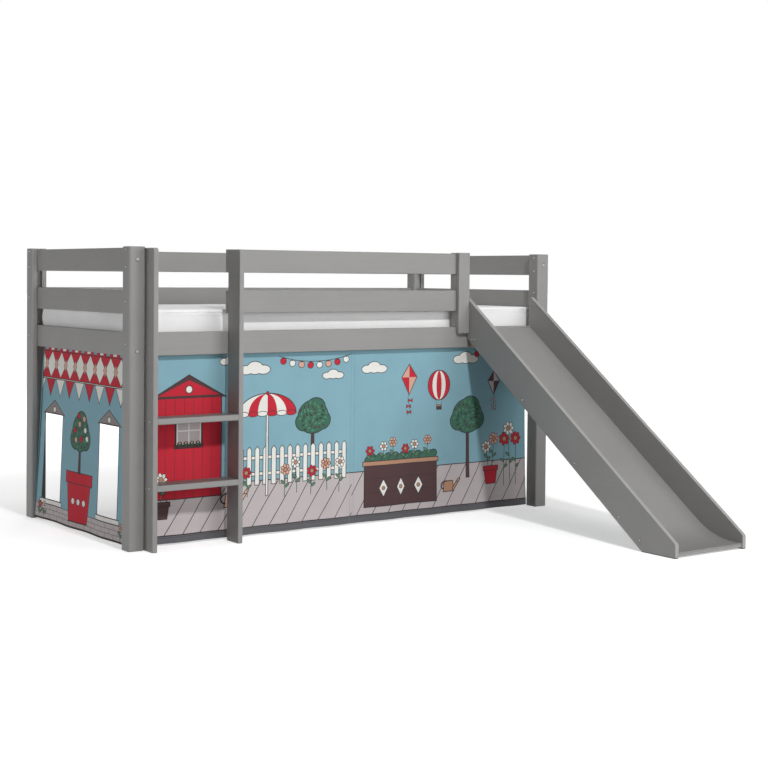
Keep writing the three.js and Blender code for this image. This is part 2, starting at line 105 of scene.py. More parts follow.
# Shading helpers. Scales are repeats for each metre, and relief() takes a strength and a depth.
class Shade:
    """A Principled material; add() puts in a node and wires what it is given."""

    def __init__(self, name, **fixed):
        self.mat = bpy.data.materials.new(name)
        self.mat.use_nodes = True
        self.tree = self.mat.node_tree
        self.tree.nodes.clear()
        out = self.tree.nodes.new("ShaderNodeOutputMaterial")
        self.bsdf = self.add("BsdfPrincipled", **fixed)
        self.wire(self.bsdf.outputs[0], out.inputs[0])

    def wire(self, a, b):
        self.tree.links.new(a, b)

    def put(self, value, socket):
        if isinstance(value, bpy.types.NodeSocket):
            self.wire(value, socket)
        else:
            socket.default_value = value

    def add(self, kind, props=None, **values):
        node = self.tree.nodes.new("ShaderNode" + kind)
        for key, value in (props or {}).items():
            setattr(node, key, value)
        for key, value in values.items():
            self.put(value, node.inputs[key.replace("_", " ")])
        return node

    def calc(self, operation, a, b):
        node = self.add("Math", {"operation": operation})
        self.put(a, node.inputs[0])
        self.put(b, node.inputs[1])
        return node.outputs[0]

    def coords(self, scale, which="Object", turn=(0, 0, 0)):
        source = self.add("TexCoord").outputs[which]
        return self.add("Mapping", Vector=source, Scale=scale, Rotation=turn).outputs[0]

    def noise(self, scale, detail=3.0, rough=0.5, which="Object", turn=(0, 0, 0)):
        at = self.coords(scale, which, turn)
        return self.add("TexNoise", Vector=at, Scale=1.0, Detail=detail, Roughness=rough).outputs[0]

    def wave(self, at, scale, distortion=0.0, direction="X"):
        props = {"bands_direction": direction}
        return self.add("TexWave", props, Vector=at, Scale=scale, Distortion=distortion).outputs[1]

    def between(self, value, low, high, new_low=0.0, new_high=1.0):
        ends = {"From_Min": low, "From_Max": high, "To_Min": new_low, "To_Max": new_high}
        return self.add("MapRange", Value=value, **ends).outputs[0]

    def sums(self, *pairs):
        total = None
        for value, share in pairs:
            term = self.calc("MULTIPLY", value, share)
            total = term if total is None else self.calc("ADD", total, term)
        return total

    def blend(self, factor, a, b, way="MIX"):
        node = self.add("Mix", {"data_type": "RGBA", "blend_type": way})
        for value, slot in ((factor, 0), (a, 6), (b, 7)):
            self.put(value, node.inputs[slot])
        return node.outputs[2]

    def times(self, factor, colour, share):
        return self.blend(factor, colour, (share, share, share, 1.0), "MULTIPLY")

    def relief(self, height, strength, distance):
        node = self.add("Bump", Strength=strength, Distance=distance)
        self.wire(height, node.inputs["Height"])
        self.wire(node.outputs[0], self.bsdf.inputs["Normal"])

    def colour(self, socket):
        self.wire(socket, self.bsdf.inputs["Base Color"])

    def gloss(self, value, *ends):
        self.wire(self.between(value, *ends), self.bsdf.inputs["Roughness"])


PAINT = srgb(150, 149, 147.5)
SLOPE = math.atan(0.72)
# How noise is stretched and turned to run along each way of the wood
ALONG = {
    "x": ((2.0, 120.0, 120.0), (0, 0, 0)),
    "y": ((120.0, 2.0, 120.0), (0, 0, 0)),
    "z": ((120.0, 120.0, 2.0), (0, 0, 0)),
    "slide": ((120.0, 2.0, 120.0), (-SLOPE, 0, 0)),
}


def painted_wood(name, along, paint=PAINT, facing=None, foot_shadow=0.0):
    """Satin paint over planed pine: faint grain under the film, brush marks along it.
    facing is (axis, low, high, share): painted shading, a share of the colour on faces turned that way.
    The last argument is the height of a dark band of painted shadow at the floor."""
    s = Shade(name, IOR=1.46)
    scale, turn = ALONG[along]
    grain = s.noise(scale, 4.0, 0.62, turn=turn)
    brush = s.noise(tuple(6.0 * v for v in scale), 2.0, 0.5, turn=turn)
    cloud = s.noise((5.0, 5.0, 5.0), 2.0)
    mix = s.sums((grain, 0.45), (cloud, 0.55))
    tone = s.between(mix, 0.3, 0.7)
    shade = s.blend(tone, scaled(paint, 0.94), scaled(paint, 1.05))
    # A facing paints shade or a highlight on faces turned one way.
    if facing:
        axis, low, high, share = facing
        parts = s.add("SeparateXYZ", Vector=s.add("NewGeometry").outputs["Normal"])
        turned = s.calc("ABSOLUTE" if axis == "X" else "MULTIPLY", parts.outputs[axis], 1.0)
        shade = s.times(s.between(turned, low, high), shade, share)
    # A dark band of painted shadow along the foot, where the board stands over the floor
    if foot_shadow:
        place = s.add("SeparateXYZ", Vector=s.add("TexCoord").outputs["Object"])
        shade = s.times(s.between(place.outputs["Z"], foot_shadow, foot_shadow + 0.001, 1.0, 0.0), shade, 0.25)
    s.colour(shade)
    s.gloss(brush, 0.25, 0.75, 0.38, 0.52)
    s.relief(s.sums((grain, 0.7), (brush, 0.3)), 0.16, 0.0012)
    return s.mat


def bare_pine(name, along):
    """Sanded pine: rings drawn out along the wood, with darker late wood."""
    s = Shade(name, IOR=1.45)
    flow = s.coords((0.9, 14.0, 14.0) if along == "x" else (14.0, 0.9, 14.0))
    rings = s.wave(flow, 2.6, 9.0)
    pores = s.noise((4.0, 260.0, 260.0) if along == "x" else (260.0, 4.0, 260.0), 3.0, 0.6)
    tone = s.sums((rings, 0.7), (pores, 0.3))
    s.colour(s.blend(tone, srgb(206, 172, 126), srgb(172, 132, 88)))
    s.gloss(pores, 0.2, 0.8, 0.55, 0.75)
    s.relief(pores, 0.2, 0.0008)
    return s.mat


def woven(name, ink):
    """Plain-woven printed cloth: two crossed sets of threads, laid out by the cloth's own map."""
    rough, weave, thread = 0.88, 0.1, 300.0
    s = Shade(name, IOR=1.4, Sheen_Weight=0.12, Sheen_Roughness=0.6)
    flat = s.coords((1.0, 1.0, 1.0), "UV")
    warp = s.wave(flat, thread)
    weft = s.wave(flat, thread, 0.0, "Y")
    slub = s.noise((60.0, 900.0, 1.0), 2.0, 0.5, "UV")
    fade = s.noise((9.0, 9.0, 9.0), 3.0, 0.55, "UV")
    crease = s.noise((7.0, 3.2, 1.0), 3.0, 0.5, "UV", (0, 0, 0.5))
    tone = s.between(s.sums((fade, 0.7), (slub, 0.3)), 0.3, 0.7)
    s.colour(s.blend(tone, scaled(ink, 0.95), scaled(ink, 1.04)))
    s.gloss(slub, 0.2, 0.8, rough - 0.05, min(rough + 0.07, 1.0))
    s.relief(s.sums((warp, 0.5), (weft, 0.5), (slub, 0.4), (crease, 95.0)), weave, 0.0006)
    return s.mat


def ticking(name):
    """Close white knit over foam, with a soft mottle from the fill beneath."""
    s = Shade(name, IOR=1.4, Sheen_Weight=0.15, Sheen_Roughness=0.5)
    at = s.coords((1.0, 1.0, 1.0))
    rib = s.wave(at, 160.0, 0.4, "X")
    course = s.wave(at, 190.0, 0.4, "Y")
    rise = s.wave(at, 190.0, 0.4, "Z")
    lump = s.noise((9.0, 9.0, 9.0))
    tone = s.between(lump, 0.3, 0.7)
    s.colour(s.blend(tone, srgb(243, 243, 244), srgb(250, 250, 250)))
    s.gloss(rib, 0.0, 1.0, 0.86, 0.95)
    s.relief(s.sums((rib, 0.3), (course, 0.3), (rise, 0.3), (lump, 0.6)), 0.12, 0.0012)
    return s.mat


def moulded(name, ink, rough=0.36):
    """Moulded plastic with a fine spark-eroded texture."""
    s = Shade(name, IOR=1.49)
    spark = s.noise((2600.0,) * 3, 2.0)
    wipe = s.noise((90.0,) * 3, 2.0)
    s.colour(s.blend(wipe, scaled(ink, 0.95), scaled(ink, 1.05)))
    s.gloss(spark, 0.2, 0.8, rough - 0.06, rough + 0.1)
    s.relief(spark, 0.15, 0.0003)
    return s.mat


def hook_tape(name):
    """The tape that holds the curtains: a dark pile of fine hooks."""
    s = Shade(name, IOR=1.4, Sheen_Weight=0.3)
    hooks = s.noise((1400.0,) * 3, 1.0)
    s.colour(s.blend(hooks, srgb(40, 40, 42), srgb(74, 74, 77)))
    s.gloss(hooks, 0.2, 0.8, 0.8, 1.0)
    s.relief(hooks, 0.6, 0.0008)
    return s.mat


# The rigid nodes keep their shape and get their finish. A facing, as painted_wood() takes it, paints
# shade on the rungs' tops and on the slide's lip, and a highlight on the edges of its side boards.
RUNG_TOP_SHADE = ("Z", 0.5, 0.9, 0.5)
# Painted highlight on the edges of the slide's side boards, lighter than their flanks
SLIDE_EDGE_HIGHLIGHT = ("X", 0.9, 0.4, 1.2)
# Painted shade on the deck's flat lip, darker than its slope
DECK_LIP_SHADE = ("Z", 0.84, 0.97, 0.86)
# The deck's paint is a little darker than the rest: partly its own board, partly painted shade between the
# side boards
DECK_PAINT_SHARE = 0.92
# Height of the band of painted shadow along the foot of the slide's side boards
FOOT_SHADOW = 0.003
# The edges that stay sharp turn by more than this many degrees.
CORNER_ANGLE, COVER_CORNER = 55.0, 80.0
CAP_CORNER, CLOTH_CORNER = 60.0, 50.0


def keep_corners(obj, degrees):
    split = obj.modifiers.new("corners", "EDGE_SPLIT")
    split.split_angle = math.radians(degrees)
    return split


def dress(node, material, sharp):
    """Smooths a carried node by its real corners and gives it its material."""
    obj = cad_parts[node]
    mesh = obj.data
    for name in ("custom_normal", "sharp_edge", "sharp_face"):
        if name in mesh.attributes:
            mesh.attributes.remove(mesh.attributes[name])
    mesh.materials.clear()
    mesh.materials.append(material)
    weld = obj.modifiers.new("weld", "WELD")
    weld.merge_threshold = 0.00001
    keep_corners(obj, sharp).use_edge_sharp = False
    even = obj.modifiers.new("normals", "WEIGHTED_NORMAL")
    even.weight = 80


def dress_rigid():
    paint = {k: painted_wood("satin_paint_" + k, k) for k in "xyz"}
    pine = {k: bare_pine("sanded_pine_" + k, k) for k in "xy"}
    # Rungs, the slide's side boards and its deck take the painted shade and highlight set above.
    rung = painted_wood("satin_paint_rung", "x", facing=RUNG_TOP_SHADE)
    side = painted_wood("satin_paint_side", "slide", facing=SLIDE_EDGE_HIGHLIGHT, foot_shadow=FOOT_SHADOW)
    deck = painted_wood("satin_paint_deck", "slide", scaled(PAINT, DECK_PAINT_SHARE), DECK_LIP_SHADE)
    cap = moulded("cap_plastic", srgb(186, 186, 183))
    tape = hook_tape("hook_tape")
    # The first row that fits the start of a node's name gives its material.
    rows = (
        (("slat_bearer", "front_rail", "back_board", "guard_board"), paint["x"]),
        (("slide_crossbar", "slide_nose"), paint["x"]),
        ("end_board", paint["y"]),
        (("post_", "guard_upright", "ladder_stile"), paint["z"]),
        ("ladder_rung", rung),
        ("slat_", pine["y"]),
        ("slide_cleat", pine["x"]),
        ("slide_side", side),
        ("slide_deck", deck),
        ("bolt_cover", cap),
        ("strip_", tape),
    )
    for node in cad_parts:
        for beginning, material in rows:
            if node.startswith(beginning):
                dress(node, material, COVER_CORNER if material == cap else CORNER_ANGLE)
                break


# Small caps over screws, in millimetres: the outer caps are on the posts' end faces, the inner ones
# on the front posts' faces towards each other, and a pair holds each end of a rung.
CAP_RADIUS, SMALL_CAP_RADIUS, COVER_RADIUS = 5.0, 4.0, 7.0
OUTER_CAP_LEVELS = (1128.0, 1063.0, 934.0, 774.0)
INNER_CAP_LEVELS, INNER_CAP_Y = (1124.0, 1063.0, 967.0), 25.0
RUNG_CAP_LEVELS, RUNG_CAP_YS = (236.0, 487.0), (-40.0, -9.0)
LADDER_RIGHT = from_corner(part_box("ladder_stile_right")[1])[0]
LOW_COVER_LEVEL = 748.0
# In metres: how far caps and covers stand out, the two radii of the painted shadow ring round a carried
# cover, and half the space between the two caps of the slide's top crossbar
CAP_HIGH, COVER_HIGH = 0.0016, 0.0025
COVER_RING = (0.0071, 0.0086)
CROSSBARS, TOP_PAIR_HALF = 5, 0.008


def new_object(name, verts, faces, mats, indices=None, smooth=False):
    mesh = bpy.data.meshes.new(name)
    mesh.from_pydata([tuple(v) for v in verts], [], faces)
    for mat in mats:
        mesh.materials.append(mat)
    if indices:
        mesh.polygons.foreach_set("material_index", indices)
    if smooth:
        mesh.polygons.foreach_set("use_smooth", [True] * len(mesh.polygons))
    mesh.update()
    obj = bpy.data.objects.new(name, mesh)
    bpy.context.scene.collection.objects.link(obj)
    return obj


def ring_round(centre, out, radius, lift, count):
    """Points round an axis, lifted along it."""
    out = out.normalized()
    side = out.orthogonal().normalized()
    other = out.cross(side)
    angles = (2 * math.pi * i / count for i in range(count))
    return [centre + (side * math.cos(a) + other * math.sin(a)) * radius + out * lift for a in angles]


def quads_between(first, rings, count):
    """Faces between rings of points that follow one another in the list."""
    faces = []
    for a in range(first, first + (rings - 1) * count, count):
        for i in range(count):
            j = (i + 1) % count
            faces.append((a + i, a + j, a + count + j, a + count + i))
    return faces


def cap_shape(centre, out, radius, high, verts, faces):
    """A domed cap with a rolled rim and a shallow dished middle."""
    profile = [(1.0, 0.0), (1.0, 0.45), (0.93, 0.82), (0.8, 1.0), (0.5, 0.96), (0.3, 0.8)]
    count, first = 20, len(verts)
    for r, h in profile:
        verts.extend(ring_round(centre, out, radius * r, high * h, count))
    verts.append(centre + out * (high * 0.74))
    faces.extend(quads_between(first, len(profile), count))
    last = first + (len(profile) - 1) * count
    faces.extend((last + i, last + (i + 1) % count, len(verts) - 1) for i in range(count))
    faces.append(tuple(first + i for i in reversed(range(count))))


def shadow_ring_shape(centre, out, inner, outer, verts, faces):
    """A thin dark ring round a cap: painted shadow of the gap round it."""
    count, first = 24, len(verts)
    profile = [(inner, 0.0), (inner, 0.0005), (outer * 0.94, 0.0004), (outer, 0.0)]
    for r, h in profile:
        verts.extend(ring_round(centre, out, r, h, count))
    for k in range(len(profile)):
        for i in range(count):
            j, n = (i + 1) % count, (k + 1) % len(profile)
            a, b = first + k * count, first + n * count
            faces.append((a + i, b + i, b + j, a + j))


def small_caps(ring_shadow):
    """Every small cap as (centre, way out, radius), then their shapes and painted shadow rings round them."""
    places = []
    left, right, back = Vector((-1, 0, 0)), Vector((1, 0, 0)), Vector((0, 1, 0))

    def pair(facing_left, facing_right, y, z, radius):
        places.append((here(facing_left, y, z), left, radius))
        places.append((here(facing_right, y, z), right, radius))

    for z in OUTER_CAP_LEVELS:
        for y in (POST / 2, DEPTH - POST / 2):
            pair(0.0, LENGTH, y, z, CAP_RADIUS)
    for z in INNER_CAP_LEVELS:
        pair(LENGTH - POST, POST, INNER_CAP_Y, z, CAP_RADIUS)
    for z in RUNG_CAP_LEVELS:
        for y in RUNG_CAP_YS:
            pair(POST, LADDER_RIGHT, y, z, SMALL_CAP_RADIUS)
    for x in (POST / 2, LENGTH - POST / 2):
        places.append((here(x, DEPTH, LOW_COVER_LEVEL), back, COVER_RADIUS))
    for i in range(1, CROSSBARS + 1):
        low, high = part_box(f"slide_crossbar_{i}")
        mid = (low + high) / 2
        for node, way in (("slide_side_left", left), ("slide_side_right", right)):
            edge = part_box(node)[0 if way.x < 0 else 1].x
            for shift in (-TOP_PAIR_HALF, TOP_PAIR_HALF) if i == 1 else (0.0,):
                places.append((Vector((edge, mid.y + shift, mid.z)), way, SMALL_CAP_RADIUS))
    verts, faces, ring_verts, ring_faces = [], [], [], []
    for centre, out, radius in places:
        high = COVER_HIGH if radius == COVER_RADIUS else CAP_HIGH
        cap_shape(centre, out, radius * 0.001, high, verts, faces)
        inner, outer = radius * 0.001 + 0.0001, radius * 0.0013 + 0.0006
        shadow_ring_shape(centre, out, inner, outer, ring_verts, ring_faces)
    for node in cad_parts:
        if node.startswith("bolt_cover"):
            low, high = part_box(node)
            mid = (low + high) / 2
            out = -back if "front" in node else back
            mid.y = high.y if out.y < 0 else low.y
            shadow_ring_shape(mid, out, *COVER_RING, ring_verts, ring_faces)
    plastic = moulded("screw_cap_plastic", srgb(206, 206, 204), 0.4)
    # The second object is the thin dark rings of painted shadow round the caps.
    for name, pieces, finish in (("screw_caps", (verts, faces), plastic),
                                 ("cap_shadow_rings", (ring_verts, ring_faces), ring_shadow)):
        obj = new_object(name, *pieces, [finish], smooth=True)
        keep_corners(obj, CAP_CORNER)
        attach(obj, "root")


# Printed cloth: a drawing cut into flat cells, then hung in folds
INKS = {
    "teal": (139, 183, 197), "red": (206, 37, 57), "cream": (246, 245, 239), "line": (62, 52, 54),
    "brown": (86, 60, 62), "tan": (194, 146, 118), "lilac": (204, 194, 195), "grey": (152, 145, 143),
    "green": (62, 112, 92), "leaf": (96, 142, 112), "hem": (103, 103, 107), "peach": (226, 176, 156),
    "seam": (108, 148, 162), "back": (198, 208, 208),
}
GROUND = "teal"
# An outline grows by these shares of its line's width, round a shape and round a clump.
OUTLINE_SHARE, CLUMP_OUTLINE_SHARE = 1.9, 2.2
# Half the cloth's thickness in metres, and the spacing of the folds' cuts in millimetres
HALF_THICK = 0.00035
CUT_ACROSS, CUT_UP = 26.0, 46.0
# The turned-up hem: its height, the height that it eases over, and what it adds in metres
TURN_UP, TURN_EASE, TURN_THICK = 33.0, 4.0, 0.0005
# Shapes that run off the cloth reach this far past its edge, where clipped() cuts them.
OVER = 5


class Drawing:
    """Flat shapes in order, in millimetres from the cloth's low left corner; later ones cover."""

    def __init__(self, wide, high):
        self.wide, self.high, self.shapes = wide, high, []

    def fill(self, points, ink, line=0.0):
        if line:
            self.shapes.append((grown(points, line * OUTLINE_SHARE), "line"))
        self.shapes.append((points, ink))

    def box(self, x0, y0, x1, y1, ink, line=0.0):
        self.fill([(x0, y0), (x1, y0), (x1, y1), (x0, y1)], ink, line)

    def band(self, y0, y1, ink, line=0.0):
        self.box(-OVER, y0, self.wide + OVER, y1, ink, line)

    def taper(self, x, y0, y1, low, high, ink, line):
        """Low and high are half its width at its two ends."""
        self.fill([(x - low, y0), (x + low, y0), (x + high, y1), (x - high, y1)], ink, line)

    def oval(self, x, y, rx, ry, ink, line=0.0, count=26, turn=0.0):
        c, s = math.cos(turn), math.sin(turn)
        points = []
        for i in range(count):
            a = 2 * math.pi * i / count
            px, py = rx * math.cos(a), ry * math.sin(a)
            points.append((x + px * c - py * s, y + px * s + py * c))
        self.fill(points, ink, line)

    def stroke(self, points, width, ink):
        left, right = [], []
        for i, p in enumerate(points):
            a, b = Vector(points[max(i - 1, 0)]), Vector(points[min(i + 1, len(points) - 1)])
            way = (b - a).normalized()
            across = Vector((-way.y, way.x)) * (width / 2)
            left.append(tuple(Vector(p) + across))
            right.append(tuple(Vector(p) - across))
        self.fill(left + right[::-1], ink)

    def curve(self, p0, p1, p2, p3, width, ink, count=10):
        points = interpolate_bezier(Vector(p0), Vector(p1), Vector(p2), Vector(p3), count)
        self.stroke([(p.x, p.y) for p in points], width, ink)

    def blobs(self, ovals, ink, line):
        rim = line * CLUMP_OUTLINE_SHARE
        for x, y, rx, ry in ovals:
            self.oval(x, y, rx + rim, ry + rim, "line")
        for x, y, rx, ry in ovals:
            self.oval(x, y, rx, ry, ink)


def area_of(points):
    return sum(p[0] * q[1] - q[0] * p[1] for p, q in zip(points, points[1:] + points[:1])) / 2


def grown(points, by):
    """The outline moved outwards, mitred at its corners."""
    if area_of(points) < 0:
        points = points[::-1]
    out = []
    for i, p in enumerate(points):
        a, b, c = Vector(points[i - 1]), Vector(p), Vector(points[(i + 1) % len(points)])
        u, v = (b - a).normalized(), (c - b).normalized()
        n1, n2 = Vector((u.y, -u.x)), Vector((v.y, -v.x))
        middle = n1 + n2
        if middle.length < 1e-6:
            middle = n1
        middle.normalize()
        out.append(tuple(b + middle * (by / max(middle.dot(n1), 0.45))))
    return out


def clipped(points, wide, high):
    """The outline cut to the cloth's rectangle."""
    for axis, limit, keep_less in ((0, 0.0, False), (0, wide, True), (1, 0.0, False), (1, high, True)):
        inside = (lambda p: p[axis] <= limit) if keep_less else (lambda p: p[axis] >= limit)
        out = []
        for p, q in zip(points, points[1:] + points[:1]):
            if inside(p):
                out.append(p)
            if inside(p) != inside(q):
                t = (limit - p[axis]) / (q[axis] - p[axis])
                out.append(tuple(p[k] + (q[k] - p[k]) * t for k in (0, 1)))
        points = out
        if len(points) < 3:
            return []
    return points


def contains(points, x, y):
    hit = False
    for (xi, yi), (xj, yj) in zip(points, points[-1:] + points[:-1]):
        if (yi > y) != (yj > y) and x < (xj - xi) * (y - yi) / (yj - yi) + xi:
            hit = not hit
    return hit


def printed_sheet(name, drawing, place, holes, inks):
    """Cuts the cloth along every line of the drawing and hangs it by place(across, up)."""
    wide, high = drawing.wide, drawing.high
    shapes = [(clipped(list(p), wide, high), ink) for p, ink in drawing.shapes]
    shapes = [(p, ink) for p, ink in shapes if p]
    loops = [[(0.0, 0.0), (wide, 0.0), (wide, high), (0.0, high)]] + [p for p, _ in shapes]
    loops += [[(x0, y0), (x1, y0), (x1, y1), (x0, y1)] for x0, y0, x1, y1 in holes]
    verts, edges = [], []
    for loop in loops:
        first = len(verts)
        verts.extend(Vector(p) for p in loop)
        edges.extend((first + i, first + (i + 1) % len(loop)) for i in range(len(loop)))
    for axis, size, gap in ((0, wide, CUT_ACROSS), (1, high, CUT_UP)):
        count = round(size / gap)
        for i in range(1, count):
            at = size * i / count
            first = len(verts)
            ends = ((at, 0.0), (at, high)) if axis == 0 else ((0.0, at), (wide, at))
            verts.extend(Vector(p) for p in ends)
            edges.append((first, first + 1))
    flat, _, cells, *_ = delaunay_2d_cdt(verts, edges, [], 0, 0.02)
    boxes = [(min(p[0] for p in s), max(p[0] for p in s), min(p[1] for p in s), max(p[1] for p in s))
             for s, _ in shapes]
    names = [GROUND] + sorted({ink for _, ink in shapes} - {GROUND}) + ["back"]
    # Each cell takes the ink of the last drawn shape that its middle lies in.
    kept, which = [], []
    for cell in cells:
        x = sum(flat[i].x for i in cell) / len(cell)
        y = sum(flat[i].y for i in cell) / len(cell)
        if any(x0 < x < x1 and y0 < y < y1 for x0, y0, x1, y1 in holes):
            continue
        ink = GROUND
        for (points, colour), (x0, x1, y0, y1) in zip(reversed(shapes), reversed(boxes)):
            if x0 < x < x1 and y0 < y < y1 and contains(points, x, y):
                ink = colour
                break
        kept.append(tuple(cell))
        which.append(names.index(ink))
    used = sorted({i for cell in kept for i in cell})
    index = {old: new for new, old in enumerate(used)}
    front, back = [], []
    for i in used:
        x, y = flat[i].x, flat[i].y
        middle = place(x, y)
        across = place(min(x + 1.0, wide), y) - place(max(x - 1.0, 0.0), y)
        upward = place(x, min(y + 1.0, high)) - place(x, max(y - 1.0, 0.0))
        normal = across.cross(upward).normalized()
        front.append(middle + normal * (HALF_THICK + thick_hem(y)))
        back.append(middle - normal * HALF_THICK)
    count = len(front)
    faces = [tuple(index[i] for i in cell) for cell in kept]
    if area_of([tuple(flat[i]) for i in kept[0]]) < 0:
        faces = [face[::-1] for face in faces]
    sides = dict.fromkeys((a, b) for face in faces for a, b in zip(face, face[1:] + face[:1]))
    rim = [(b, a, a + count, b + count) for a, b in sides if (b, a) not in sides]
    all_faces = faces + [tuple(i + count for i in face[::-1]) for face in faces] + rim
    indices = which + [len(names) - 1] * len(faces) + [names.index("seam")] * len(rim)
    obj = new_object(name, front + back, all_faces, [inks[n] for n in names], indices, smooth=True)
    layer = obj.data.uv_layers.new(name="cloth")
    lookup = [(flat[i].x * 0.001, flat[i].y * 0.001) for i in used] * 2
    for loop in obj.data.loops:
        layer.data[loop.index].uv = lookup[loop.vertex_index]
    keep_corners(obj, CLOTH_CORNER)
    return obj


def thick_hem(up):
    """The turned-up hem stands a little proud of the single cloth."""
    t = clamped((TURN_UP - up) / TURN_EASE)
    return TURN_THICK * t * t * (3 - 2 * t)


# The cloth hangs behind its strips, from their top edge to just over the floor.
STRIP_LEFT, STRIP_RIGHT, STRIP_END = (
    [from_corner(corner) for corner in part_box("strip_" + place)]
    for place in ("front_left", "front_right", "end"))
BEHIND_STRIP = 1.0
CLOTH_LINE = STRIP_LEFT[1][1] + BEHIND_STRIP
CLOTH_TOP = STRIP_LEFT[1][2]
STRIP = CLOTH_TOP - STRIP_LEFT[0][2]
HEM = from_corner(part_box("curtain_front_left")[0])[2]
DROP = CLOTH_TOP - HEM
END_START, END_WIDE = STRIP_END[0][1], STRIP_END[1][1] - STRIP_END[0][1]
# Where the front curtains lap, the left one reaches past its strip, and the right one starts before
# its own and is set back over a width that eases off. The right one also widens to its hem.
LAP, EARLY = 1.8, 0.5
LAP_BACK, LAP_WIDE, LAP_EASE = 1.4, 30.0, 26.0
FLARE, FLARE_POWER = 16.0, 2.4
# Depth and length of the folds and of their fine and slow ripples, and where those start
FOLD, FOLD_LONG = 3.5, 235.0
FINE, FINE_LONG, FINE_TURN, FINE_RISE = 0.9, 17.0, 1.4, 1.2
SLOW, SLOW_LONG = 0.5, 61.0
LEFT_PHASE, RIGHT_PHASE = 0.4, 2.1
# The end curtain swings out to its hem, more so at the back, and spreads past its short strip.
SWING, SWING_BACK, SWING_POWER = 17.0, 11.0, 1.6
END_FOLD_LONG = 290.0
END_FINE, END_FINE_LONG, END_FINE_TURN = 0.8, 15.0, 2.0
SPREAD, SPREAD_RATE = 25.0, 12.0
# Its two windows
WINDOW_STARTS, WINDOW_WIDE = (56.0, 565.0), 160.0
WINDOW_SILL, WINDOW_HIGH = 88.0, 355.0


def fall_at(up):
    """The share of the way from the strip's lower edge down to the hem."""
    return max(DROP - up - STRIP, 0.0) / (DROP - STRIP)


def front_place(start, wide, flare, phase):
    def place(across, up):
        fall = fall_at(up)
        x = start + across + flare * (across / wide) * fall ** FLARE_POWER
        wave = FOLD * math.sin(2 * math.pi * across / FOLD_LONG) + FOLD
        fine = FINE * math.sin(across / FINE_LONG + phase + FINE_TURN * fall)
        fine *= math.sin(math.pi * min(fall * FINE_RISE, 1.0))
        slow = SLOW * math.sin(across / SLOW_LONG + phase)
        y = CLOTH_LINE + fall * (wave + fine + slow)
        if flare:
            y += LAP_BACK * clamped((LAP_WIDE - across) / LAP_EASE)
        return here(x, y, HEM + up)
    return place


def end_place(across, up):
    back = END_WIDE - across
    along, fall = back / END_WIDE, fall_at(up)
    swing = (SWING + SWING_BACK * along ** 2) * fall ** SWING_POWER
    wave = FOLD * math.sin(2 * math.pi * back / END_FOLD_LONG)
    fine = END_FINE * math.sin(back / END_FINE_LONG + END_FINE_TURN * fall) * math.sin(math.pi * fall)
    x = CLOTH_LINE - swing + fall * (wave + fine)
    y = END_START + back + SPREAD * along * (1.0 - math.exp(-SPREAD_RATE * fall))
    return here(x, y, HEM + up)


# The drawings: a garden on a deck of planks, over a plain hem. Sizes are in millimetres.
HEM_BAND, SEAM_IN, TOP_SEAM_IN = 30.0, 9.0, 18.0
PLANK_STEP = 78.0


def planks(d, top, lean):
    d.band(HEM_BAND, top, "lilac")
    d.band(top - 2.0, top + 2.0, "line")
    x = -130.0
    while x < d.wide + 180:
        d.stroke([(x + lean, top), (x, HEM_BAND)], 3.4, "line")
        x += PLANK_STEP


def hem(d):
    d.band(-OVER, HEM_BAND, "hem")
    d.band(HEM_BAND - 2.0, HEM_BAND + 2.0, "line")
    d.band(HEM_BAND - 8.0, HEM_BAND - 7.0, "line")


def side_seams(d):
    for x in (SEAM_IN, d.wide - SEAM_IN):
        d.box(x - 0.5, -OVER, x + 0.5, d.high + OVER, "seam")
    d.band(d.high - TOP_SEAM_IN - 0.5, d.high - TOP_SEAM_IN + 0.5, "seam")
    return d


def leaves(d, x, y, rx, ry, count):
    """Small leaves in two greens and a dark, spread evenly over a crown."""
    for k in range(count):
        turn, reach = 2.4 * k, math.sqrt((k + 0.5) / count)
        at = (x + rx * reach * math.cos(turn), y + ry * reach * math.sin(turn))
        d.oval(*at, 8.5, 3.4, ("leaf", "line", "leaf", "brown")[k % 4], 0.0, 8, 0.7 + 1.9 * k)


def round_tree(d, x, base, trunk, r):
    d.taper(x, base, base + trunk, 7, 5, "brown", 1.6)
    y = base + trunk + r * 0.7
    d.blobs([(x, y, r, r * 0.92), (x - r * 0.6, y - r * 0.25, r * 0.55, r * 0.5),
             (x + r * 0.6, y - r * 0.2, r * 0.55, r * 0.52), (x + r * 0.2, y + r * 0.55, r * 0.6, r * 0.5)],
            "green", 1.8)
    leaves(d, x, y, r * 0.95, r * 0.85, 44)


def pot(d, x, base, wide, high, ink):
    d.taper(x, base, base + high * 0.8, wide * 0.36, wide * 0.48, ink, 1.8)
    d.box(x - wide * 0.55, base + high * 0.78, x + wide * 0.55, base + high, ink, 1.8)


def flower(d, x, base, high, ink, r, lean=0.0, petals=7):
    d.curve((x, base), (x, base + high * 0.4), (x + lean, base + high * 0.7), (x + lean, base + high),
            3.4, "green")
    d.oval(x + lean * 0.4 + 9, base + high * 0.42, 11, 4.2, "leaf", 1.2, 14, 0.6)
    d.oval(x + lean * 0.3 - 9, base + high * 0.55, 11, 4.2, "leaf", 1.2, 14, 2.5)
    cx, cy = x + lean, base + high
    for i in range(petals):
        a = 2 * math.pi * i / petals
        d.oval(cx + r * 0.62 * math.cos(a), cy + r * 0.62 * math.sin(a), r * 0.46, r * 0.3, ink, 1.3, 14, a)
    d.oval(cx, cy, r * 0.36, r * 0.36, "tan", 1.3, 14)


def cloud(d, x, y, w):
    d.blobs([(x - w * 0.3, y, w * 0.22, w * 0.13), (x, y + w * 0.06, w * 0.27, w * 0.19),
             (x + w * 0.3, y, w * 0.24, w * 0.13)], "cream", 1.4)


